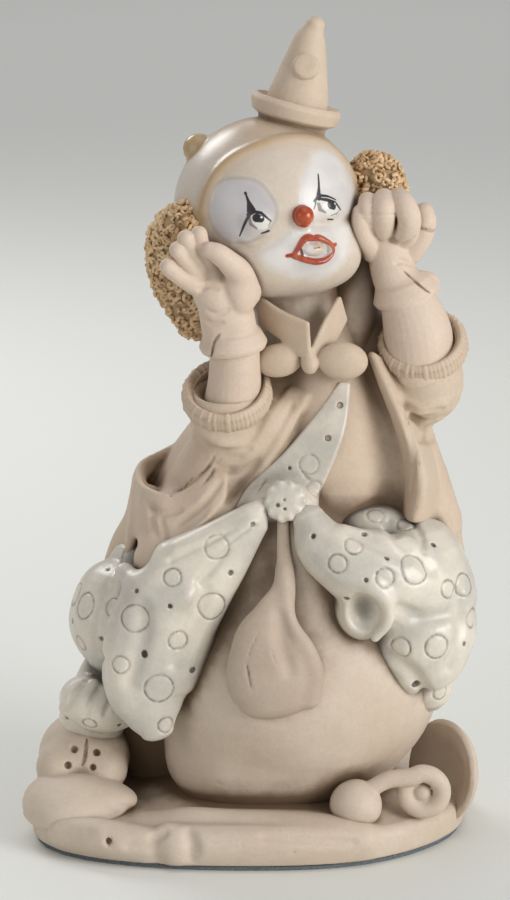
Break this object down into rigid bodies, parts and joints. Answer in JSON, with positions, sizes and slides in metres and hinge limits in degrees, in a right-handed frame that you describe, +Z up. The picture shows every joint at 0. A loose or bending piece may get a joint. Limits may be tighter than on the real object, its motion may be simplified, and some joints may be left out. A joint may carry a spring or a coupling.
{
  "type": "clown figurine",
  "caption": "Bisque clown figurine seated on a round cushion, hands cupped to its ears, with a cone hat, a bow tie and a coiled bulb horn on a low base.",
  "frame": {"origin": "on the table, under the middle of the figurine's footprint", "axes": "+Z up, +X to the viewer's right with the figurine seen from its front, +Y away from the viewer, into the picture"},
  "size_m": [0.1139, 0.0911, 0.2041],
  "materials": {
    "bisque": "unglazed tinted bisque, matt, with pearly glaze on the trousers and the face",
    "felt": "thin felt"
  },
  "bodies": {
    "root": {"clown_figure": "bisque", "felt_pad": "felt"}
  },
  "joints": []
}
